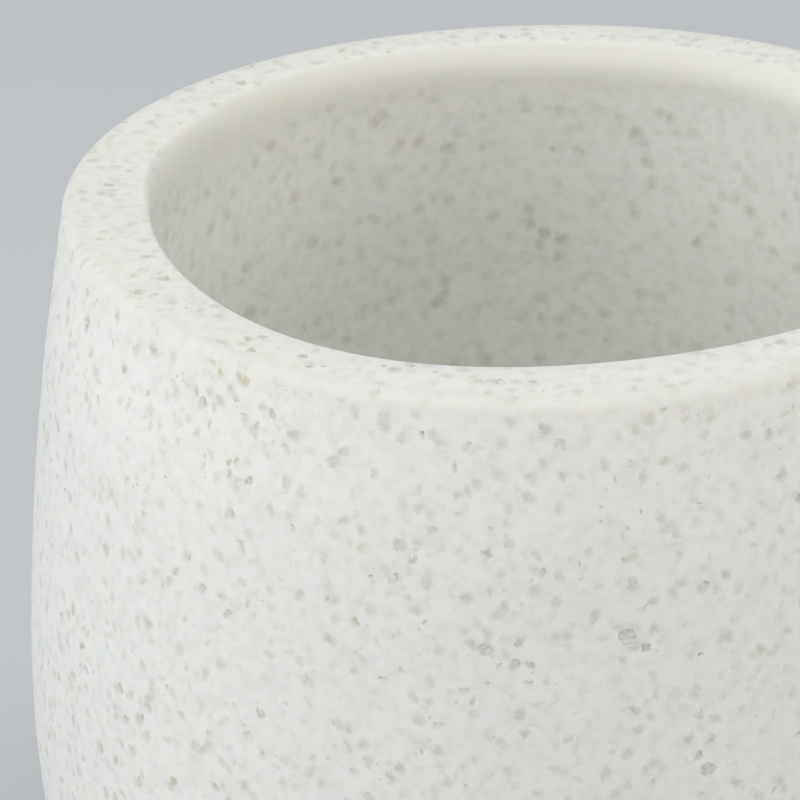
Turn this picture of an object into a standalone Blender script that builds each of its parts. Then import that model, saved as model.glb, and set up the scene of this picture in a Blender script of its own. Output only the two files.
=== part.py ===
"""Cotton pad box: an open, barrel-shaped jar cast in stone resin, standing on four glued pads.

Metres, +Z up. The origin is on the ground under the jar's axis, level with the underside of the pads.
"""
import bpy
import math
from mathutils import Vector
from mathutils.geometry import interpolate_bezier

# Jar, outside
body_height = 0.0940        # underside of the casting to the flat of the rim
rim_radius = 0.0445         # outer wall where it meets the plane of the rim
belly_radius = 0.0497       # outer wall at its widest
belly_drop = 0.0502         # from the rim down to the widest place
base_radius = 0.0405        # outer wall where it meets the plane of the underside
rim_lean = 9.5              # degrees that the wall leans out going down from the rim
base_lean = 22.0            # degrees that the wall leans out going up from the underside
rim_edge_rounding = 0.0013
base_edge_rounding = 0.0040

# Jar, inside
wall_thickness = 0.0084
floor_thickness = 0.0085
lip_rounding = 0.0012
cove_rounding = 0.0140      # between the inner wall and the floor

# Underside: a shallow dish inside the standing ring
standing_ring_width = 0.0170
dish_depth = 0.0012
dish_draft = 0.0010         # how far the dish's edge runs in over its depth

# Anti-slip pads
foot_count = 4
foot_radius = 0.0050
foot_thickness = 0.0018
foot_edge_rounding = 0.0004
foot_seat_depth = 0.0008
foot_clearance = 0.0003     # glue film above a pad, and the play around it in its seat
first_foot_angle = 45.0     # degrees

# Facets
jar_steps = 68
foot_steps = 24
edge_segments = 4           # along a small rounding
lip_segments = 6
cove_segments = 9
wall_segments = 10          # along each half of the barrel
curve_fullness = 2 / 3      # how far the barrel's curve handles reach towards where the end tangents cross

# Finishes
resin_colour = (0.80, 0.795, 0.765, 1.0)
resin_roughness = 0.62
pad_colour = (0.42, 0.42, 0.41, 1.0)
pad_roughness = 0.80

# Worked out from the sizes above
base_z = foot_thickness + foot_clearance - foot_seat_depth
rim_z = base_z + body_height
belly_z = rim_z - belly_drop
floor_z = base_z + floor_thickness
dish_radius = base_radius - standing_ring_width
foot_ring_outer = base_radius - base_edge_rounding
foot_circle_radius = (dish_radius + foot_ring_outer) / 2


def clear_scene():
    """Start from an empty scene."""
    for old in list(bpy.data.objects):
        bpy.data.objects.remove(old, do_unlink=True)


def new_collection(name):
    """A collection in the scene."""
    collection = bpy.data.collections.new(name)
    bpy.context.scene.collection.children.link(collection)
    return collection


def new_material(name, colour, roughness):
    """A plain non-metallic material."""
    material = bpy.data.materials.new(name)
    material.use_nodes = True
    material.diffuse_color = colour
    shader = material.node_tree.nodes["Principled BSDF"]
    shader.inputs["Base Color"].default_value = colour
    shader.inputs["Roughness"].default_value = roughness
    shader.inputs["Metallic"].default_value = 0.0
    return material


def rounded_corner(corner, towards_last, towards_next, radius, segments):
    """Points of an arc of this radius that touches both straight sides of a corner."""
    back = towards_last.normalized()
    ahead = towards_next.normalized()
    half_angle = back.angle(ahead) / 2
    reach = radius / math.tan(half_angle)
    centre = corner + (back + ahead).normalized() * (radius / math.sin(half_angle))
    start = corner + back * reach - centre
    turn = start.angle_signed(corner + ahead * reach - centre)
    points = []
    for i in range(segments + 1):
        angle = -turn * i / segments
        spun = Vector((start.x * math.cos(angle) - start.y * math.sin(angle),
                       start.x * math.sin(angle) + start.y * math.cos(angle)))
        points.append(centre + spun)
    return points


def barrel_curve(start, start_direction, end, segments):
    """Smooth curve from a leaning end of the wall to the belly, where the wall stands upright."""
    rise = abs(end.y - start.y)
    run = abs(end.x - start.x)
    lean = abs(start_direction.x / start_direction.y)
    straight = min(run / lean, rise)                 # height where the two end tangents cross
    upright = Vector((0.0, 1.0 if start.y > end.y else -1.0))
    handle_start = start + start_direction / abs(start_direction.y) * straight * curve_fullness
    handle_end = end + upright * (rise - straight) * curve_fullness
    points = interpolate_bezier(start, handle_start, handle_end, end, segments + 1)
    return [Vector((p.x, p.y)) for p in points]


def jar_outside():
    """Outer side of the jar's section, from the flat of the rim down to the standing ring."""
    lean_down = Vector((math.sin(math.radians(rim_lean)), -math.cos(math.radians(rim_lean))))
    lean_up = Vector((math.sin(math.radians(base_lean)), math.cos(math.radians(base_lean))))
    inwards = Vector((-1.0, 0.0))
    rim_corner = Vector((rim_radius, rim_z))
    belly = Vector((belly_radius, belly_z))
    base_corner = Vector((base_radius, base_z))
    rim_edge = rounded_corner(rim_corner, inwards, lean_down, rim_edge_rounding, edge_segments)
    base_edge = rounded_corner(base_corner, lean_up, inwards, base_edge_rounding, edge_segments)
    upper = barrel_curve(rim_edge[-1], lean_down, belly, wall_segments)
    lower = barrel_curve(base_edge[0], lean_up, belly, wall_segments)
    return rim_edge[:-1] + upper[:-1] + lower[::-1][:-1] + base_edge


def jar_inside(outside):
    """Inner side of the section, from the middle of the floor up to the flat of the rim."""
    inner_wall = []
    for point in outside:
        inner_wall.append(Vector((point.x - wall_thickness, point.y)))

    def inner_radius(height):
        """Inner wall at a height, on the straight line between the two nearest points."""
        for above, below in zip(inner_wall, inner_wall[1:]):
            if above.y >= height >= below.y and above.y > below.y:
                share = (above.y - height) / (above.y - below.y)
                return above.x + (below.x - above.x) * share
        return inner_wall[-1].x

    lip_lean = Vector((math.sin(math.radians(rim_lean)), -math.cos(math.radians(rim_lean))))
    lip_corner = Vector((rim_radius - wall_thickness, rim_z))
    lip = rounded_corner(lip_corner, lip_lean, Vector((1.0, 0.0)), lip_rounding, lip_segments)

    cove_top = floor_z + cove_rounding
    cove_lean = Vector((inner_radius(cove_top) - inner_radius(floor_z), cove_rounding))
    cove_corner = Vector((inner_radius(floor_z), floor_z))
    cove = rounded_corner(cove_corner, Vector((-1.0, 0.0)), cove_lean, cove_rounding, cove_segments)

    wall = []
    for point in inner_wall[::-1]:
        if cove[-1].y + lip_rounding / 2 < point.y < lip[0].y - lip_rounding / 2:
            wall.append(point)
    return [Vector((0.0, floor_z))] + cove + wall + lip


def jar_underside():
    """Underside of the section, from the standing ring in to the axis."""
    dish_z = base_z + dish_depth
    return [
        Vector((dish_radius, base_z)),
        Vector((dish_radius - dish_draft, dish_z)),
        Vector((0.0, dish_z)),
    ]


def turned(name, section, steps, collection, material):
    """A closed solid turned from its section: points (radius, height) that start and end on the axis."""
    mesh = bpy.data.meshes.new(name)
    points = [(p.x, 0.0, p.y) for p in section]
    edges = [(i, i + 1) for i in range(len(points) - 1)]
    mesh.from_pydata(points, edges, [])
    solid = bpy.data.objects.new(name, mesh)
    collection.objects.link(solid)
    screw = solid.modifiers.new("turn", "SCREW")
    screw.axis = "Z"
    screw.angle = math.tau
    screw.steps = steps
    screw.render_steps = steps
    screw.use_merge_vertices = True
    screw.merge_threshold = 0.00001
    screw.use_smooth_shade = True
    mesh.materials.append(material)
    return solid


def shade_flats_flat(solid):
    """Smooth shading that follows the large faces, so flat ones look flat."""
    shading = solid.modifiers.new("shading", "WEIGHTED_NORMAL")
    shading.mode = "FACE_AREA"
    shading.weight = 100


def make_foot(name, place, collection, material):
    """One pad: a short round disc with its lower edge rounded."""
    upwards = Vector((0.0, 1.0))
    inwards = Vector((-1.0, 0.0))
    lower_corner = Vector((foot_radius, 0.0))
    section = [Vector((0.0, foot_thickness)), Vector((foot_radius, foot_thickness))]
    section += rounded_corner(lower_corner, upwards, inwards, foot_edge_rounding, edge_segments)
    section.append(Vector((0.0, 0.0)))
    foot = turned(name, section, foot_steps, collection, material)
    shade_flats_flat(foot)
    foot.location = place
    return foot


def cut_foot_seat(jar, name, place, cutters):
    """A round seat for one pad, cut up into the underside."""
    below = foot_thickness
    depth = foot_seat_depth + below
    bpy.ops.mesh.primitive_cylinder_add(
        vertices=foot_steps,
        radius=foot_radius + foot_clearance,
        depth=depth,
        location=(place.x, place.y, base_z + foot_seat_depth - depth / 2),
    )
    cutter = bpy.context.active_object
    cutter.name = name
    for holder in list(cutter.users_collection):
        holder.objects.unlink(cutter)
    cutters.objects.link(cutter)
    cutter.hide_render = True
    cutter.display_type = "WIRE"
    cut = jar.modifiers.new(name, "BOOLEAN")
    cut.operation = "DIFFERENCE"
    cut.solver = "EXACT"
    cut.object = cutter


def build():
    """The jar, its four seats and the pads in them."""
    clear_scene()
    pieces = new_collection("cotton_pad_box")
    cutters = new_collection("cutters")
    resin = new_material("stone_resin", resin_colour, resin_roughness)
    pad = new_material("anti_slip_pad", pad_colour, pad_roughness)

    outside = jar_outside()
    section = jar_inside(outside) + outside + jar_underside()
    jar = turned("vessel_body", section, jar_steps, pieces, resin)

    for i in range(foot_count):
        angle = math.radians(first_foot_angle) + math.tau * i / foot_count
        place = Vector((foot_circle_radius * math.cos(angle), foot_circle_radius * math.sin(angle), 0.0))
        cut_foot_seat(jar, f"seat_{i + 1}", place, cutters)
        make_foot(f"foot_{i + 1}", place, pieces, pad)
    shade_flats_flat(jar)


build()
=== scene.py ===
"""Looks of an open, barrel-shaped cotton pad box cast in speckled stone resin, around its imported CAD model.

Metres, +Z up. The origin is on the ground under the jar's axis.
"""
import math
import random
import bmesh
import bpy
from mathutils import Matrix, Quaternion, Vector, noise
from mathutils.bvhtree import BVHTree
from mathutils.geometry import interpolate_bezier
from mathutils.kdtree import KDTree


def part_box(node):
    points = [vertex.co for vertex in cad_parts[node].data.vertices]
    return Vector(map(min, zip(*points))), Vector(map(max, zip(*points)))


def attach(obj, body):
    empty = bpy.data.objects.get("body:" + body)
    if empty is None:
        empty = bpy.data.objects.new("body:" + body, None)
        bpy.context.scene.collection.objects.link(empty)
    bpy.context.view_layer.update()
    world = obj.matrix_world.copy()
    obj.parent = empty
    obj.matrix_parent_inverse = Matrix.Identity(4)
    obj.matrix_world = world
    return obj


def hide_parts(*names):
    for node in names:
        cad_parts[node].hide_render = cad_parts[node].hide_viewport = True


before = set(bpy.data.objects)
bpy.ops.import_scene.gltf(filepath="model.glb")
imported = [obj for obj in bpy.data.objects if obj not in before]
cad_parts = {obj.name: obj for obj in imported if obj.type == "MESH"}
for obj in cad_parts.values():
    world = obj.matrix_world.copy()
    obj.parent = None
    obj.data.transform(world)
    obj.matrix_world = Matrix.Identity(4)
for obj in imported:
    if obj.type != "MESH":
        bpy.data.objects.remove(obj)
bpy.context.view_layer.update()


# Jar: one casting of pale resin filled with stone grains, poured over a core, so that wall, rim and floor
# have no joint. The rim and the standing ring are ground flat, their edges are broken by hand, and a few
# grains at the surface have pulled out and left shallow chips.
jar_low, jar_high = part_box("vessel_body")
base_z = jar_low.z
rim_z = jar_high.z
belly_radius = jar_high.x
belly_drop = 0.0502
belly_z = rim_z - belly_drop
rim_radius = 0.0445
base_radius = 0.0405
rim_lean = math.radians(9.5)
base_lean = math.radians(22.0)
wall_thickness = 0.0084
floor_thickness = 0.0085
floor_z = base_z + floor_thickness
standing_ring_width = 0.0170
dish_radius = base_radius - standing_ring_width
dish_depth = 0.0012
dish_z = base_z + dish_depth
dish_draft = 0.0010
rim_edge_rounding = 0.0013
base_edge_rounding = 0.0040
lip_rounding = 0.0042       # where the lip was sanded down deepest, at the back left
lip_room = 1.5              # how far down the wall's own points start, in such roundings
cove_rounding = 0.0140
dish_edge_rounding = 0.0006
curve_fullness = 2 / 3
curve_points = 12
jar_steps = 192
lip_cell = 0.0007
lip_cell_reach = 0.0080
fine_cell = 0.0016
coarse_cell = 0.0030


def barrel_curve(corner, lean, belly):
    """Points of the wall from a leaning end to the belly, where it stands upright."""
    side = math.copysign(1.0, belly.z - corner.z)
    straight = (belly.x - corner.x) / math.tan(lean)
    leaning = Vector((math.tan(lean), 0.0, side)) * straight
    upright = Vector((0.0, 0.0, belly.z - corner.z - side * straight))
    return interpolate_bezier(corner, corner + leaning * curve_fullness,
                              belly - upright * curve_fullness, belly, curve_points)


def round_corner(mesh, corner, radius, segments):
    """Rounds one corner of a section to a radius."""
    arms = [edge.other_vert(corner).co - corner.co for edge in corner.link_edges]
    reach = radius / math.tan(arms[0].angle(arms[1]) / 2)
    bmesh.ops.bevel(mesh, geom=[corner], offset=reach, offset_type="OFFSET", segments=segments,
                    profile=0.5, affect="VERTICES", material=-1)


outer_belly = Vector((belly_radius, 0.0, belly_z))
outer_wall = barrel_curve(Vector((rim_radius, 0.0, rim_z)), rim_lean, outer_belly)[:-1]
outer_wall += barrel_curve(Vector((base_radius, 0.0, base_z)), base_lean, outer_belly)[::-1]
inner_wall = [point - Vector((wall_thickness, 0.0, 0.0)) for point in outer_wall[::-1]]
cove_top = floor_z + cove_rounding
floor_end = inner_wall[0].lerp(inner_wall[1], (floor_z - base_z) / (inner_wall[1].z - base_z))

jar = bmesh.new()
corners = [jar.verts.new((0.0, 0.0, floor_z)), jar.verts.new((floor_end.x, 0.0, floor_z))]
cove_corner = corners[-1]
below_lip = rim_z - lip_rounding * lip_room
corners += [jar.verts.new(point) for point in inner_wall if cove_top + fine_cell < point.z < below_lip]
wall_top = corners[-1].co.copy()
lip_corner = jar.verts.new(inner_wall[-1])
corners.append(lip_corner)
lip_place = lip_corner.co.copy()
rim_corner = jar.verts.new(outer_wall[0])
corners += [rim_corner] + [jar.verts.new(point) for point in outer_wall[1:]]
base_corner = corners[-1]
dish_edge = jar.verts.new((dish_radius, 0.0, base_z))
dish_inside = jar.verts.new((dish_radius - dish_draft, 0.0, dish_z))
dish_middle = jar.verts.new((0.0, 0.0, dish_z))
corners += [dish_edge, dish_inside, dish_middle]
for one, other in zip(corners, corners[1:]):
    jar.edges.new((one, other))
for corner, radius, segments in ((cove_corner, cove_rounding, 14), (lip_corner, lip_rounding, 20),
                                 (rim_corner, rim_edge_rounding, 6), (base_corner, base_edge_rounding, 6),
                                 (dish_edge, dish_edge_rounding, 3)):
    round_corner(jar, corner, radius, segments)
for edge in jar.edges[:]:
    middle = (edge.verts[0].co + edge.verts[1].co) / 2
    cell = fine_cell if middle.z > floor_z + cove_rounding / 2 or middle.x > base_radius else coarse_cell
    if (middle - lip_place).length < lip_cell_reach:
        cell = lip_cell
    cuts = math.ceil(edge.calc_length() / cell) - 1
    if cuts:
        bmesh.ops.subdivide_edges(jar, edges=[edge], cuts=cuts)
bmesh.ops.spin(jar, geom=jar.verts[:] + jar.edges[:], cent=(0.0, 0.0, 0.0), axis=(0.0, 0.0, 1.0),
               angle=math.tau, steps=jar_steps, use_merge=True)
bmesh.ops.remove_doubles(jar, verts=jar.verts, dist=0.00001)
bmesh.ops.recalc_face_normals(jar, faces=jar.faces)

# Hollows in the jar's surface: the four seats for the pads, and the chips that pulled-out grains left.
# Each is an outline cut into the surface and sunk below it. The chips in plain sight are where the
# photograph has them.
foot_count = 4
first_foot_angle = 45.0     # degrees
foot_circle_radius = 0.0300
foot_radius = 0.0050
foot_clearance = 0.0003
seat_depth = 0.0008
seat_sides = 32
seat_draft = 0.00005
broken = jar.faces.layers.float.new("broken_stone")
start_places = KDTree(len(jar.verts))
jar.verts.ensure_lookup_table()
for i, vert in enumerate(jar.verts):
    start_places.insert(vert.co, i)
start_places.balance()
start_verts = jar.verts[:]


def faces_around(centre, reach):
    """Faces with a corner within reach of a place on the jar, walking out from the nearest corner."""
    seen = {start_verts[start_places.find(centre)[1]]}
    walk = list(seen)
    found = set()
    while walk:
        for face in walk.pop().link_faces:
            found.add(face)
            for vert in face.verts:
                if vert not in seen and (vert.co - centre).length < reach:
                    seen.add(vert)
                    walk.append(vert)
    return found


def sink(centre, outward, outline, slope, depth):
    """Cuts an outline, points (right, up) around a place on the jar, and sinks what is inside it."""
    right = Vector((0.0, 0.0, 1.0)).cross(outward)
    right = right.normalized() if right.length > 0.1 else Vector((1.0, 0.0, 0.0))
    up = outward.cross(right).normalized()
    corners = [centre + right * x + up * y for x, y in outline]
    inside = faces_around(centre, max(Vector(point).length for point in outline) + fine_cell)
    for here, ahead in zip(corners, corners[1:] + corners[:1]):
        away = (ahead - here).cross(outward).normalized()
        parts = set(inside)
        for face in inside:
            parts.update(face.edges)
            parts.update(face.verts)
        cut = bmesh.ops.bisect_plane(jar, geom=list(parts), dist=0.0000001, plane_co=here, plane_no=away)
        inside = {part for part in cut["geom"] if isinstance(part, bmesh.types.BMFace)
                  and (part.calc_center_median() - here).dot(away) < 0.0}
    sides = bmesh.ops.inset_region(jar, faces=list(inside), thickness=slope, depth=-depth,
                                   use_even_offset=True, use_boundary=True)["faces"]
    return inside, sides


seat_radius = foot_radius + foot_clearance
ring = []
for side in range(seat_sides):
    turn = math.tau * side / seat_sides
    ring.append((math.cos(turn) * seat_radius, math.sin(turn) * seat_radius))
for i in range(foot_count):
    angle = math.radians(first_foot_angle + 360.0 / foot_count * i)
    seat = Vector((foot_circle_radius * math.cos(angle), foot_circle_radius * math.sin(angle), base_z))
    sink(seat, Vector((0.0, 0.0, -1.0)), ring, seat_draft, seat_depth)

chip_random = random.Random(7)
chip_depth = 0.00014
chip_slope = 0.00006
corner_range = (-0.25, 0.25)        # how far a corner strays, in spaces between corners
reach_range = (0.85, 1.15)
depth_range = (0.6, 1.4)
surface = BVHTree.FromBMesh(jar)
# angle around the jar in degrees, height, width and corners of each chip in sight
chips_in_sight = (
    (-81.06, 0.0741, 0.0018, 7),
    (-79.18, 0.0729, 0.0012, 4),
    (-96.06, 0.0732, 0.0016, 6),
    (-72.95, 0.0606, 0.0015, 7),
)
chips = list(chips_in_sight)
chips_behind = 14
angles_behind = (0.0, 180.0)
heights_behind = (0.006, 0.088)
widths_behind = (0.0007, 0.0015)
beyond_jar = 0.1            # where the rays that find the surface start
for _ in range(chips_behind):
    chips.append((chip_random.uniform(*angles_behind), chip_random.uniform(*heights_behind),
                  chip_random.uniform(*widths_behind), chip_random.randint(5, 7)))
for angle, height, width, corner_count in chips:
    spoke = Vector((math.cos(math.radians(angle)), math.sin(math.radians(angle)), 0.0))
    axis_point = Vector((0.0, 0.0, height))
    place, outward, _, _ = surface.ray_cast(axis_point + spoke * beyond_jar, -spoke)
    turn = chip_random.uniform(0.0, math.tau)
    outline = []
    for i in range(corner_count):
        corner_angle = turn + math.tau * (i + chip_random.uniform(*corner_range)) / corner_count
        reach = width / 2 * chip_random.uniform(*reach_range)
        outline.append((reach * math.cos(corner_angle), reach * math.sin(corner_angle)))
    depth = chip_depth * chip_random.uniform(*depth_range)
    floor_faces, side_faces = sink(place, outward, outline, chip_slope, depth)
    for face in list(floor_faces) + list(side_faces):
        face[broken] = 1.0

# The hand-finished casting is never quite true: its surface wavers by a twentieth of a millimetre, and the
# filed mouth and the rim's outer edge each wander by a millimetre or so. Below the lip the wall keeps its
# cast skin, and the lip is smoothest at the back, where it is also painted a warm shade. The rim's outer
# edge is painted a shade darker, most in front, to tone down the highlight the lamps give it.
waver_height = 0.00005
waver_length = 0.018
above_ring = 0.0020         # where the wavers start above the standing ring
flat_margin = 0.0001        # what still counts as the rim's flat, which is ground true
floor_margin = 0.0005       # the same for the floor
# waves around the mouth: count, height, and the angle in degrees at which one peaks
mouth_waves = ((0, 0.00048, 0.0), (1, 0.00017, 72.9), (2, 0.00040, -64.6), (3, 0.00003, 19.9),
               (4, 0.00053, -37.0), (5, 0.00025, -34.5))
mouth_wave_depth = 0.022
# the same around the rim's outer edge
edge_waves = ((0, -0.00020, 0.0), (1, 0.00077, 79.3), (2, 0.00030, -30.5), (3, 0.00046, 32.9),
              (4, 0.00021, -27.1))
edge_wave_depth = 0.015
edge_wave_inside = 0.006    # how far down the inner wall the outer edge's waves still reach
# the lip's rounding around the mouth: angle in degrees, reach across the rim and reach down the wall
lip_shapes = (
    (-180.0, 0.0007, 0.0010),
    (-170.0, 0.0005, 0.0005),
    (-60.0, 0.0005, 0.0005),
    (-30.0, 0.0012, 0.0012),
    (0.0, 0.0020, 0.0020),
    (40.0, 0.0030, 0.0028),
    (120.0, 0.0030, 0.0030),
    (135.0, 0.0026, 0.0040),
    (150.0, 0.0018, 0.0042),
    (165.0, 0.0014, 0.0042),
    (180.0, 0.0007, 0.0010),
)
lip_margin = 1.001          # takes in the end points of the lip's rounding
skin_start = 0.001          # how far below the rim the cast skin starts to show
skin_full = 0.006
smooth_lip_shade_angle = math.radians(105.0)       # where around the mouth the lip is smoothest and its painted warm shade strongest
smooth_lip_shade_spread = (0.3, 0.9)   # cosines of the angles from there between which it grows smoother
smooth_lip_shade_least = 0.25
smooth_lip_shade_start = 0.9           # share of the rounding's reach over the rim where the smooth part starts
smooth_lip_shade_end = 0.6             # share of its reach down the wall where the smooth part starts to fade
smooth_lip_shade_fade = 0.0016
edge_shade_angle = math.radians(-80.0)     # where around the rim its outer edge is painted darkest, as painted shade
edge_shade_swing = 0.25
edge_shade_flat = (0.0005, 0.0020)         # start and end of its fade, in from the rim's corner
edge_shade_wall = (0.0004, 0.0018)         # and down from it
ring_fade = 0.0004
ring_height = 0.0002
skin = jar.verts.layers.float.new("cast_skin")
smooth_lip_shade = jar.verts.layers.float.new("smooth_lip_shade")
ground = jar.verts.layers.float.new("ground_ring")
edge_shade_layer = jar.verts.layers.float.new("painted_edge_shade")
rounding_reach = 1 / math.tan((math.pi / 2 - rim_lean) / 2)
flat_outside = rim_radius - rim_edge_rounding * rounding_reach      # where the outer rounding starts
amid_wall = (belly_radius - wall_thickness + flat_outside) / 2


def ease(value, start, end):
    """Rises smoothly from 0 at the start to 1 at the end."""
    share = min(max((value - start) / (end - start), 0.0), 1.0)
    return share * share * (3.0 - 2.0 * share)


def lip_shape(degrees):
    """The lip's rounding across the rim and down the wall at an angle around the mouth."""
    for (start, across, deep), (end, across_ahead, deep_ahead) in zip(lip_shapes, lip_shapes[1:]):
        if start <= degrees <= end:
            share = ease(degrees, start, end)
            return across + (across_ahead - across) * share, deep + (deep_ahead - deep) * share


def wander(waves, angle):
    """How far waves around the rim move it outwards at an angle."""
    return sum(height * math.cos(count * (angle - math.radians(peak))) for count, height, peak in waves)


wall_run = (wall_top - lip_place).normalized()
jar.normal_update()
wavers = [noise.noise(vert.co / waver_length) for vert in jar.verts]
for vert, waver in zip(jar.verts, wavers):
    if base_z + above_ring < vert.co.z < rim_z - flat_margin:
        vert.co += vert.normal * (waver * waver_height)
    spoke = Vector((vert.co.x, vert.co.y, 0.0))
    radius = spoke.length
    down = rim_z - vert.co.z
    inner_side = flat_outside if down < flat_margin * 3 else amid_wall
    in_mouth = vert.co.z > floor_z - floor_margin and radius < inner_side
    on_ring = vert.co.z < base_z + ring_height
    vert[ground] = ease(radius, dish_radius, dish_radius + ring_fade) if on_ring else 0.0
    angle = math.atan2(vert.co.y, vert.co.x)
    spoke.normalize()
    edge_shade_here = 1.0 - edge_shade_swing + edge_shade_swing * math.cos(angle - edge_shade_angle)
    on_flat = 1.0 - ease(rim_radius - radius, *edge_shade_flat)
    vert[edge_shade_layer] = edge_shade_here * on_flat * (1.0 - ease(down, *edge_shade_wall))
    edge_wander = wander(edge_waves, angle)
    if not in_mouth:
        vert.co += spoke * (edge_wander * ease(-down, -edge_wave_depth, 0.0))
        continue
    across, deep = lip_shape(math.degrees(angle))
    if math.hypot(radius - lip_place.x, down) < lip_rounding * rounding_reach * lip_margin:
        along_wall = down / -wall_run.z
        along_rim = radius - lip_place.x - along_wall * wall_run.x
        along_wall *= deep / lip_rounding
        radius = lip_place.x + along_rim * across / lip_rounding + along_wall * wall_run.x
        down = -along_wall * wall_run.z
        vert.co = spoke * radius + Vector((0.0, 0.0, rim_z - down))
    past_flat = lip_place.x + across * rounding_reach * smooth_lip_shade_start - radius + down
    smooth_shade_here = smooth_lip_shade_least + (1.0 - smooth_lip_shade_least) * ease(math.cos(angle - smooth_lip_shade_angle), *smooth_lip_shade_spread)
    above_wall = 1.0 - ease(down, deep * smooth_lip_shade_end, deep + smooth_lip_shade_fade)
    vert[smooth_lip_shade] = smooth_shade_here * above_wall * ease(past_flat, 0.0, smooth_lip_shade_fade)
    vert[skin] = ease(down, skin_start, skin_full)
    share = min((flat_outside - radius) / (flat_outside - lip_place.x), 1.0)
    mouth_part = share * ease(-down, -mouth_wave_depth, 0.0)
    edge_part = (1.0 - share) * ease(-down, -edge_wave_inside, 0.0)
    vert.co += spoke * (wander(mouth_waves, angle) * mouth_part + edge_wander * edge_part)

jar_mesh = bpy.data.meshes.new("stone_resin_jar")
jar.to_mesh(jar_mesh)
jar.free()
jar_mesh.shade_smooth()
jar_mesh.set_sharp_from_angle(angle=math.radians(32.0))
jar_piece = bpy.data.objects.new("stone_resin_jar", jar_mesh)
bpy.context.collection.objects.link(jar_piece)
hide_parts("vessel_body")
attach(jar_piece, "root")


def add_node(tree, kind, inputs=(), **settings):
    """A shader node whose inputs, by name or number, are each linked to an output or set to a value."""
    made = tree.nodes.new(kind)
    for name, value in settings.items():
        setattr(made, name, value)
    for socket, value in dict(inputs).items():
        if isinstance(value, bpy.types.NodeSocket):
            tree.links.new(value, made.inputs[socket])
        else:
            made.inputs[socket].default_value = value
    return made


def calculate(tree, operation, *values):
    """A Math node's result."""
    return add_node(tree, "ShaderNodeMath", enumerate(values), operation=operation).outputs[0]


def reckon(tree, operation, *values):
    """A Vector Math node's result: a number for a dot product or a distance, a vector otherwise."""
    made = add_node(tree, "ShaderNodeVectorMath", enumerate(values), operation=operation)
    return made.outputs["Value" if operation in ("DOT_PRODUCT", "DISTANCE") else "Vector"]


def noise_outputs(tree, place, scale, detail):
    """A noise texture's outputs."""
    return add_node(tree, "ShaderNodeTexNoise", {"Vector": place, "Scale": scale, "Detail": detail}).outputs


def stretch(tree, vector, factor):
    """A vector times a number."""
    made = add_node(tree, "ShaderNodeVectorMath", {0: vector, "Scale": factor}, operation="SCALE")
    return made.outputs["Vector"]


def fade(tree, value, start, end, at_start, at_end):
    """A value's smooth way from one level at the start to another at the end."""
    ends = {"Value": value, "From Min": start, "From Max": end, "To Min": at_start, "To Max": at_end}
    return add_node(tree, "ShaderNodeMapRange", ends, interpolation_type="SMOOTHSTEP").outputs["Result"]


def spread(tree, value, start, end, at_start, at_end):
    """A value's straight way from one level at the start to another at the end."""
    ends = {"Value": value, "From Min": start, "From Max": end, "To Min": at_start, "To Max": at_end}
    return add_node(tree, "ShaderNodeMapRange", ends).outputs["Result"]


def attribute(tree, name):
    """A number kept at a mesh's vertices or faces."""
    return add_node(tree, "ShaderNodeAttribute", attribute_name=name).outputs["Fac"]


def blend_colour(tree, share, under, over):
    """One colour laid over another by a share."""
    return add_node(tree, "ShaderNodeMix", {0: share, 6: under, 7: over}, data_type="RGBA").outputs[2]


# Stone grains: flat lens shapes set in the resin, one to a cell, each turned its own way, so that the
# surface cuts some across into slivers and others along into patches. All lengths are in metres.
cell_scatter = 0.85
least_size = 0.65
size_range = 0.60
least_strength = 0.23
strength_range = 0.74
strength_bend = 1.5         # above 1, most grains are faint and few are strong
gapped_share = 0.15
gap_reach = 0.92            # where the gap lies between the grain's middle and its edge
gap_width = 0.30
gap_span = (0.45, 0.80)     # cosines of the angles from the gap's side between which the gap opens
grains = bpy.data.node_groups.new("stone_grains", "ShaderNodeTree")
grains.interface.new_socket("Place", in_out="INPUT", socket_type="NodeSocketVector")
for name in ("Spacing", "Thickness", "Breadth", "Share", "Softness"):
    grains.interface.new_socket(name, in_out="INPUT", socket_type="NodeSocketFloat")
grains.interface.new_socket("Mask", in_out="OUTPUT", socket_type="NodeSocketFloat")
grains.interface.new_socket("Tone", in_out="OUTPUT", socket_type="NodeSocketFloat")
grains.interface.new_socket("Pit", in_out="OUTPUT", socket_type="NodeSocketFloat")
given = grains.nodes.new("NodeGroupInput").outputs
per_cell = calculate(grains, "DIVIDE", 1.0, given["Spacing"])
in_cells = stretch(grains, given["Place"], per_cell)
cells = add_node(grains, "ShaderNodeTexVoronoi",
                 {"Vector": in_cells, "Scale": 1.0, "Randomness": cell_scatter},
                 voronoi_dimensions="3D", feature="F1")
from_middle = reckon(grains, "SUBTRACT", in_cells, cells.outputs["Position"])
offset = stretch(grains, from_middle, given["Spacing"])
turned = reckon(grains, "NORMALIZE", reckon(grains, "MULTIPLY_ADD", cells.outputs["Color"],
                                            (2.0, 2.0, 2.0), (-1.0, -1.0, -1.0)))
along = reckon(grains, "DOT_PRODUCT", offset, turned)
along_squared = calculate(grains, "MULTIPLY", along, along)
whole_squared = reckon(grains, "DOT_PRODUCT", offset, offset)
across_squared = calculate(grains, "SUBTRACT", whole_squared, along_squared)
half_thick = calculate(grains, "MULTIPLY", given["Thickness"], 0.5)
half_broad = calculate(grains, "MULTIPLY", given["Breadth"], 0.5)
reach_squared = calculate(
    grains, "ADD",
    calculate(grains, "DIVIDE", along_squared, calculate(grains, "MULTIPLY", half_thick, half_thick)),
    calculate(grains, "DIVIDE", across_squared, calculate(grains, "MULTIPLY", half_broad, half_broad)))
luck = add_node(grains, "ShaderNodeTexWhiteNoise", {"Vector": cells.outputs["Position"]},
                noise_dimensions="3D")
own = add_node(grains, "ShaderNodeSeparateColor", {0: luck.outputs["Color"]}).outputs
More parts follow.
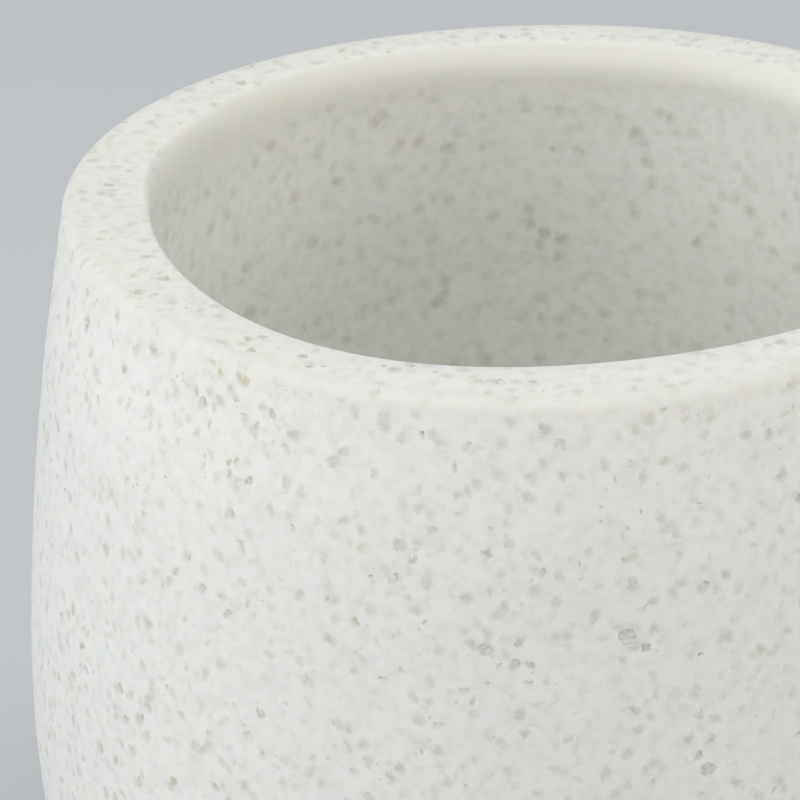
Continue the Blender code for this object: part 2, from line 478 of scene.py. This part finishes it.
own_size = calculate(grains, "MULTIPLY_ADD", own["Red"], size_range, least_size)
own_reach = calculate(grains, "DIVIDE", calculate(grains, "SQRT", reach_squared), own_size)
half_soft = calculate(grains, "MULTIPLY", given["Softness"], 0.5)
soft_start = calculate(grains, "SUBTRACT", 1.0, half_soft)
soft_end = calculate(grains, "ADD", 1.0, half_soft)
shape = fade(grains, own_reach, soft_start, soft_end, 1.0, 0.0)
present = calculate(grains, "LESS_THAN", own["Green"], given["Share"])
bent_luck = calculate(grains, "POWER", luck.outputs["Value"], strength_bend)
own_strength = calculate(grains, "MULTIPLY_ADD", bent_luck, strength_range, least_strength)
given_out = grains.nodes.new("NodeGroupOutput")
mask = calculate(grains, "MULTIPLY", calculate(grains, "MULTIPLY", shape, present), own_strength)
grains.links.new(mask, given_out.inputs["Mask"])
grains.links.new(own["Blue"], given_out.inputs["Tone"])
# A few grains stand a little proud, with a crescent of a gap where the resin drew back on one side of them.
gap_side = reckon(grains, "NORMALIZE", reckon(grains, "SUBTRACT", luck.outputs["Color"], (0.5, 0.5, 0.5)))
towards_gap = reckon(grains, "DOT_PRODUCT", reckon(grains, "NORMALIZE", offset), gap_side)
on_gap_side = fade(grains, towards_gap, *gap_span, 0.0, 1.0)
from_edge = calculate(grains, "ABSOLUTE", calculate(grains, "SUBTRACT", own_reach, gap_reach))
at_edge = fade(grains, from_edge, 0.0, gap_width, 1.0, 0.0)
picked = calculate(grains, "GREATER_THAN", own["Blue"], 1.0 - gapped_share)
gapped = calculate(grains, "MULTIPLY", present, picked)
crescent = calculate(grains, "MULTIPLY", on_gap_side, at_edge)
grains.links.new(calculate(grains, "MULTIPLY", crescent, gapped), given_out.inputs["Pit"])

# Stone resin: a warm white matrix, faintly cloudy, with crisp grains at the surface, soft ones below it, a
# few ochre ones, and sunken ones that show only through the cast skin inside the jar. It has the soft glow
# of a material that light enters, and a sanded, matte surface.
matrix_colour = (0.852, 0.856, 0.822, 1.0)
cloud_colour = (0.825, 0.829, 0.795, 1.0)
# spacing, thickness, breadth, share, softness, cover where the stone is open and where the cast skin veils
# it, and the two colours between which the grains vary
grain_kinds = {
    "sunken grains": (0.00190, 0.00095, 0.00125, 0.92, 1.15, 0.00, 0.90,
                      (0.690, 0.680, 0.620, 1.0), (0.600, 0.585, 0.520, 1.0)),
    "deep grains": (0.00145, 0.00068, 0.00108, 0.95, 1.20, 0.86, 0.30,
                    (0.690, 0.682, 0.620, 1.0), (0.590, 0.576, 0.506, 1.0)),
    "surface grains": (0.00260, 0.00046, 0.00094, 0.62, 0.90, 0.78, 0.12,
                       (0.590, 0.570, 0.490, 1.0), (0.490, 0.472, 0.400, 1.0)),
    "stone dust": (0.00157, 0.00022, 0.00036, 0.32, 0.90, 0.80, 0.10,
                   (0.490, 0.460, 0.390, 1.0), (0.360, 0.340, 0.300, 1.0)),
    "ochre grains": (0.00560, 0.00060, 0.00110, 0.40, 0.80, 0.80, 0.40,
                     (0.645, 0.570, 0.385, 1.0), (0.590, 0.535, 0.415, 1.0)),
}
crowd_place = (-0.0279, -0.0357, 0.0907)
crowd_core = 0.0030
crowd_reach = 0.0105
crowd_cover = 1.0
crowd_grains = {
    "Spacing": 0.00118,
    "Thickness": 0.00046,
    "Breadth": 0.00080,
    "Share": 0.85,
    "Softness": 1.10,
}
light_brown = (0.655, 0.620, 0.480, 1.0)
dark_brown = (0.510, 0.465, 0.310, 1.0)
ragged_scale = 1700.0
ragged_reach = 0.00095
veiled_ragged_reach = 0.00040
skin_softness = 0.40
mottle_span = (0.30, 0.70)
mottle_least = 0.55
mottle_most = 1.30
cloud_scale = 110.0
blotch_scale = 800.0
blotch_span = (0.40, 0.75)
blotch_cover = 0.45
blotch_colour = (0.720, 0.718, 0.675, 1.0)
pit_cover = {"deep grains": 0.55, "surface grains": 0.80}
pit_depth = 5.0             # in heights of the sanding marks
# the dark, warm colour painted into the gaps beside grains as their shade
pit_shade_colour = (0.430, 0.348, 0.205, 1.0)
broken_colour = (0.800, 0.790, 0.750, 1.0)
broken_spot_colour = (0.650, 0.637, 0.590, 1.0)
broken_relief = 5.0         # in heights of the sanding marks
crumb_scale = 2600.0
crumb_span = (0.40, 0.60)
# Painted warm shade on the lip where it turns down into the mouth.
lip_warm_shade_colour = (0.742, 0.738, 0.685, 1.0)
glaze_cover = 0.85          # how much of the grains the smoothed lip hides
# Painted shade on the rim's outer edge, and how strongly it is laid on.
edge_shade_colour = (0.680, 0.682, 0.652, 1.0)
edge_shade_cover = 0.52
ground_colour = (0.770, 0.760, 0.715, 1.0)
rubbing_scale = 900.0
sanding_scale = 4000.0
sanding_height = 0.00001
resin_roughness = 0.62
grain_roughness = 0.50
resin = bpy.data.materials.new("speckled_stone_resin")
resin.use_nodes = True
resin_tree = resin.node_tree
resin_shader = resin_tree.nodes["Principled BSDF"]
place = add_node(resin_tree, "ShaderNodeTexCoord").outputs["Object"]
ragged = noise_outputs(resin_tree, place, ragged_scale, 2.0)
ragged_step = reckon(resin_tree, "SUBTRACT", ragged["Color"], (0.5, 0.5, 0.5))
mottle = spread(resin_tree, ragged["Fac"], *mottle_span, mottle_least, mottle_most)
skin_share = attribute(resin_tree, "cast_skin")
raggedness = calculate(resin_tree, "MULTIPLY_ADD", skin_share,
                       veiled_ragged_reach - ragged_reach, ragged_reach)
ragged_place = reckon(resin_tree, "ADD", stretch(resin_tree, ragged_step, raggedness), place)
smooth_lip_shade_share = attribute(resin_tree, "smooth_lip_shade")
bare_share = calculate(resin_tree, "MULTIPLY_ADD", smooth_lip_shade_share, -glaze_cover, 1.0)
clouds = noise_outputs(resin_tree, place, cloud_scale, 2.0)["Fac"]
colour = blend_colour(resin_tree, clouds, matrix_colour, cloud_colour)
blotches = noise_outputs(resin_tree, place, blotch_scale, 1.0)["Fac"]
blotch_share = spread(resin_tree, blotches, *blotch_span, 0.0, blotch_cover)
colour = blend_colour(resin_tree, blotch_share, colour, blotch_colour)
stone_share = 0.0
pit_and_shade_share = 0.0
for kind, looks in grain_kinds.items():
    spacing, thickness, breadth, share, softness, open_cover, veiled_cover, light, dark = looks
    soft_here = calculate(resin_tree, "MULTIPLY_ADD", skin_share, skin_softness, softness)
    settings = {"Place": ragged_place, "Spacing": spacing, "Thickness": thickness, "Breadth": breadth,
                "Share": share, "Softness": soft_here}
    layer = add_node(resin_tree, "ShaderNodeGroup", settings, node_tree=grains, label=kind)
    cover = calculate(resin_tree, "MULTIPLY_ADD", skin_share, veiled_cover - open_cover, open_cover)
    covered = calculate(resin_tree, "MULTIPLY", layer.outputs["Mask"], cover)
    bared = calculate(resin_tree, "MULTIPLY", covered, bare_share)
    shown = calculate(resin_tree, "MULTIPLY", bared, mottle)
    stone = blend_colour(resin_tree, layer.outputs["Tone"], light, dark)
    colour = blend_colour(resin_tree, shown, colour, stone)
    stone_share = calculate(resin_tree, "MAXIMUM", shown, stone_share)
    if kind in pit_cover:
        pitted = calculate(resin_tree, "MULTIPLY", layer.outputs["Pit"], pit_cover[kind])
        pit_and_shade_share = calculate(resin_tree, "MAXIMUM", pitted, pit_and_shade_share)
# In one place, under the rim at the front left, small brown grains crowd together.
from_crowd = reckon(resin_tree, "DISTANCE", place, crowd_place)
crowded = fade(resin_tree, from_crowd, crowd_core, crowd_reach, crowd_cover, 0.0)
crowd = add_node(resin_tree, "ShaderNodeGroup", {"Place": ragged_place, **crowd_grains},
                 node_tree=grains, label="crowded grains")
crowd_shown = calculate(resin_tree, "MULTIPLY", crowd.outputs["Mask"], crowded)
crowd_colour = blend_colour(resin_tree, crowd.outputs["Tone"], light_brown, dark_brown)
colour = blend_colour(resin_tree, crowd_shown, colour, crowd_colour)
# Under the cast skin and on the smoothed lip the gaps are filled.
unveiled = calculate(resin_tree, "MULTIPLY_ADD", skin_share, -1.0, 1.0)
open_share = calculate(resin_tree, "MULTIPLY", bare_share, unveiled)
pit_and_shade_share = calculate(resin_tree, "MULTIPLY", pit_and_shade_share, open_share)
# The gaps are painted a dark, warm shade, the shade that falls into them; the bump below also sinks them.
colour = blend_colour(resin_tree, pit_and_shade_share, colour, pit_shade_colour)
# Painted warm shade on the lip where it turns down into the mouth, most at the back, in place of the glow of
# light through the resin there.
colour = blend_colour(resin_tree, smooth_lip_shade_share, colour, lip_warm_shade_colour)
# The rim's outer edge is painted a shade darker, most in front, as painted shade that tones down its lit
# highlight.
edge_shade_share = attribute(resin_tree, "painted_edge_shade")
edge_darkening = calculate(resin_tree, "MULTIPLY", edge_shade_share, edge_shade_cover)
colour = blend_colour(resin_tree, edge_darkening, colour, edge_shade_colour)
# The standing ring was ground on a belt and has picked up a little of what it stood on.
rubbing = noise_outputs(resin_tree, place, rubbing_scale, 4.0)["Fac"]
rubbed = calculate(resin_tree, "MULTIPLY", attribute(resin_tree, "ground_ring"), rubbing)
colour = blend_colour(resin_tree, rubbed, colour, ground_colour)
# A chip shows broken stone, crumbly and a little spotted.
chipped = attribute(resin_tree, "broken_stone")
crumbs = noise_outputs(resin_tree, place, crumb_scale, 2.0)["Fac"]
crumb_share = spread(resin_tree, crumbs, *crumb_span, 0.0, 1.0)
broken_stone = blend_colour(resin_tree, crumb_share, broken_colour, broken_spot_colour)
colour = blend_colour(resin_tree, chipped, colour, broken_stone)
resin_tree.links.new(colour, resin_shader.inputs["Base Color"])
roughness = spread(resin_tree, stone_share, 0.0, 1.0, resin_roughness, grain_roughness)
resin_tree.links.new(roughness, resin_shader.inputs["Roughness"])
sanding = noise_outputs(resin_tree, place, sanding_scale, 1.0)["Fac"]
relief = calculate(resin_tree, "MULTIPLY_ADD", pit_and_shade_share, -pit_depth, sanding)
broken_height = calculate(resin_tree, "MULTIPLY", chipped, crumbs)
relief = calculate(resin_tree, "MULTIPLY_ADD", broken_height, broken_relief, relief)
bump = add_node(resin_tree, "ShaderNodeBump",
                {"Height": relief, "Strength": 0.6, "Distance": sanding_height})
resin_tree.links.new(bump.outputs["Normal"], resin_shader.inputs["Normal"])
resin_shader.inputs["Subsurface Weight"].default_value = 0.6
resin_shader.inputs["Subsurface Radius"].default_value = (1.0, 0.78, 0.50)
resin_shader.inputs["Subsurface Scale"].default_value = 0.0035
resin_shader.inputs["Specular IOR Level"].default_value = 0.4
jar_mesh.materials.append(resin)


# Pads: four round anti-slip pads die-cut from grey foam rubber, stuck in their seats with double-sided
# film. The cut edge bulges a little under the weight, and the sole is worn round at its edge.
foot_thickness = 0.0018
film_radius = 0.0048
film_gap = 0.00002          # keeps the film's top clear of the seat
pad_bulge = 0.00008
bulge_rounding = 0.0016
sole_rounding = 0.0005
pad_steps = 64
pad_colour = (0.42, 0.42, 0.41, 1.0)
pore_colour = (0.26, 0.26, 0.25, 1.0)
scuff_colour = (0.52, 0.515, 0.50, 1.0)
pore_scale = 4200.0
pore_span = (0.10, 0.42)
pore_depth = 0.00004
scuff_scale = 700.0
scuff_span = (0.50, 0.70)
scuff_cover = 0.6
rubber = bpy.data.materials.new("foam_rubber")
rubber.use_nodes = True
rubber_tree = rubber.node_tree
rubber_shader = rubber_tree.nodes["Principled BSDF"]
rubber_place = add_node(rubber_tree, "ShaderNodeTexCoord").outputs["Object"]
pores = add_node(rubber_tree, "ShaderNodeTexVoronoi", {"Vector": rubber_place, "Scale": pore_scale},
                 feature="F1").outputs["Distance"]
pore_share = spread(rubber_tree, pores, *pore_span, 1.0, 0.0)
scuffs = noise_outputs(rubber_tree, rubber_place, scuff_scale, 3.0)["Fac"]
scuff_share = spread(rubber_tree, scuffs, *scuff_span, 0.0, scuff_cover)
rubber_colour = blend_colour(rubber_tree, scuff_share, pad_colour, scuff_colour)
rubber_colour = blend_colour(rubber_tree, pore_share, rubber_colour, pore_colour)
rubber_tree.links.new(rubber_colour, rubber_shader.inputs["Base Color"])
pitting = add_node(rubber_tree, "ShaderNodeBump",
                   {"Height": pores, "Strength": 0.7, "Distance": pore_depth})
rubber_tree.links.new(pitting.outputs["Normal"], rubber_shader.inputs["Normal"])
rubber_shader.inputs["Roughness"].default_value = 0.85
rubber_shader.inputs["Specular IOR Level"].default_value = 0.3

film_top = base_z + seat_depth - film_gap
section = [(0.0, film_top), (film_radius, film_top), (film_radius, foot_thickness),
           (foot_radius, foot_thickness), (foot_radius + pad_bulge, foot_thickness / 2),
           (foot_radius, 0.0), (0.0, 0.0)]
for i in range(foot_count):
    angle = math.radians(first_foot_angle + 360.0 / foot_count * i)
    pad = bmesh.new()
    corners = [pad.verts.new((radius, 0.0, height)) for radius, height in section]
    for one, other in zip(corners, corners[1:]):
        pad.edges.new((one, other))
    round_corner(pad, corners[4], bulge_rounding, 6)
    round_corner(pad, corners[5], sole_rounding, 5)
    bmesh.ops.spin(pad, geom=pad.verts[:] + pad.edges[:], cent=(0.0, 0.0, 0.0), axis=(0.0, 0.0, 1.0),
                   angle=math.tau, steps=pad_steps, use_merge=True)
    bmesh.ops.remove_doubles(pad, verts=pad.verts, dist=0.00001)
    bmesh.ops.recalc_face_normals(pad, faces=pad.faces)
    bmesh.ops.translate(pad, verts=pad.verts, vec=(foot_circle_radius * math.cos(angle),
                                                   foot_circle_radius * math.sin(angle), 0.0))
    pad_mesh = bpy.data.meshes.new(f"anti_slip_pad_{i + 1}")
    pad.to_mesh(pad_mesh)
    pad.free()
    pad_mesh.shade_smooth()
    pad_mesh.set_sharp_from_angle(angle=math.radians(50.0))
    pad_mesh.materials.append(rubber)
    pad_piece = bpy.data.objects.new(f"anti_slip_pad_{i + 1}", pad_mesh)
    bpy.context.collection.objects.link(pad_piece)
    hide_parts(f"foot_{i + 1}")
    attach(pad_piece, "root")


# Camera: the photograph's close three-quarter view into the mouth, from a long lens, rolled slightly.
camera_place = Vector((0.0, -0.43797, 0.28658))
camera_aim = Vector((-0.01302, -0.00799, 0.07836))
camera_roll = math.radians(-1.594)
camera_data = bpy.data.cameras.new("camera")
camera_data.lens = 230.08
camera = bpy.data.objects.new("camera", camera_data)
bpy.context.collection.objects.link(camera)
camera.rotation_mode = "QUATERNION"
camera.location = camera_place
camera.rotation_quaternion = ((camera_aim - camera_place).to_track_quat("-Z", "Y")
                              @ Quaternion((0.0, 0.0, 1.0), camera_roll))
bpy.context.scene.camera = camera

# Floor: a plain pale sheet, seen as the background on every side. It isn't seen from underneath.
floor_grey = (0.606, 0.627, 0.657, 1.0)
floor_build = bmesh.new()
bmesh.ops.create_circle(floor_build, cap_ends=True, segments=96, radius=4.0)
floor_mesh = bpy.data.meshes.new("floor")
floor_build.to_mesh(floor_mesh)
floor_build.free()
floor = bpy.data.objects.new("floor", floor_mesh)
bpy.context.collection.objects.link(floor)
floor_paint = bpy.data.materials.new("floor_paint")
floor_paint.use_nodes = True
floor_tree = floor_paint.node_tree
floor_shader = floor_tree.nodes["Principled BSDF"]
floor_shader.inputs["Base Color"].default_value = floor_grey
floor_shader.inputs["Roughness"].default_value = 0.8
floor_shader.inputs["Specular IOR Level"].default_value = 0.0
side = floor_tree.nodes.new("ShaderNodeNewGeometry")
clear = floor_tree.nodes.new("ShaderNodeBsdfTransparent")
pick = floor_tree.nodes.new("ShaderNodeMixShader")
floor_tree.links.new(side.outputs["Backfacing"], pick.inputs[0])
floor_tree.links.new(floor_shader.outputs[0], pick.inputs[1])
floor_tree.links.new(clear.outputs[0], pick.inputs[2])
floor_tree.links.new(pick.outputs[0], floor_tree.nodes["Material Output"].inputs["Surface"])
floor_mesh.materials.append(floor_paint)

# Light: a dim even room and six softboxes, the strongest high in front, at the left and at the right.
world = bpy.data.worlds.new("room")
bpy.context.scene.world = world
world.use_nodes = True
world.node_tree.nodes["Background"].inputs["Color"].default_value = (1.0, 1.0, 1.0, 1.0)
world.node_tree.nodes["Background"].inputs["Strength"].default_value = 0.10
lamp_aim = Vector((0.0, 0.0, 0.05))
# place, width, power and colour of each softbox
softboxes = {
    "high_front": ((0.0, -0.8, 1.2), 0.9, 8.4, (0.995, 1.0, 0.975)),
    "left": ((-1.3, -0.3, 0.7), 1.0, 8.0, (0.88, 0.96, 1.0)),
    "front_left": ((-1.0, -1.0, 0.9), 1.0, 5.4, (1.0, 0.91, 0.89)),
    "right": ((1.3, -0.2, 0.8), 1.0, 9.1, (1.0, 0.97, 0.93)),
    "back_left": ((-0.9, 0.9, 1.0), 1.0, 4.9, (1.0, 0.92, 0.91)),
    "back_right": ((0.9, 0.9, 1.0), 1.0, 2.6, (0.80, 1.0, 1.0)),
}
for name, (lamp_place, width, power, tint) in softboxes.items():
    lamp = bpy.data.lights.new(name, "AREA")
    lamp.shape = "SQUARE"
    lamp.size = width
    lamp.energy = power
    lamp.color = tint
    softbox = bpy.data.objects.new(name, lamp)
    softbox.location = lamp_place
    softbox.rotation_mode = "QUATERNION"
    softbox.rotation_quaternion = (lamp_aim - Vector(lamp_place)).to_track_quat("-Z", "Y")
    softbox.visible_camera = False
    bpy.context.collection.objects.link(softbox)

bpy.context.scene.view_settings.view_transform = "Standard"
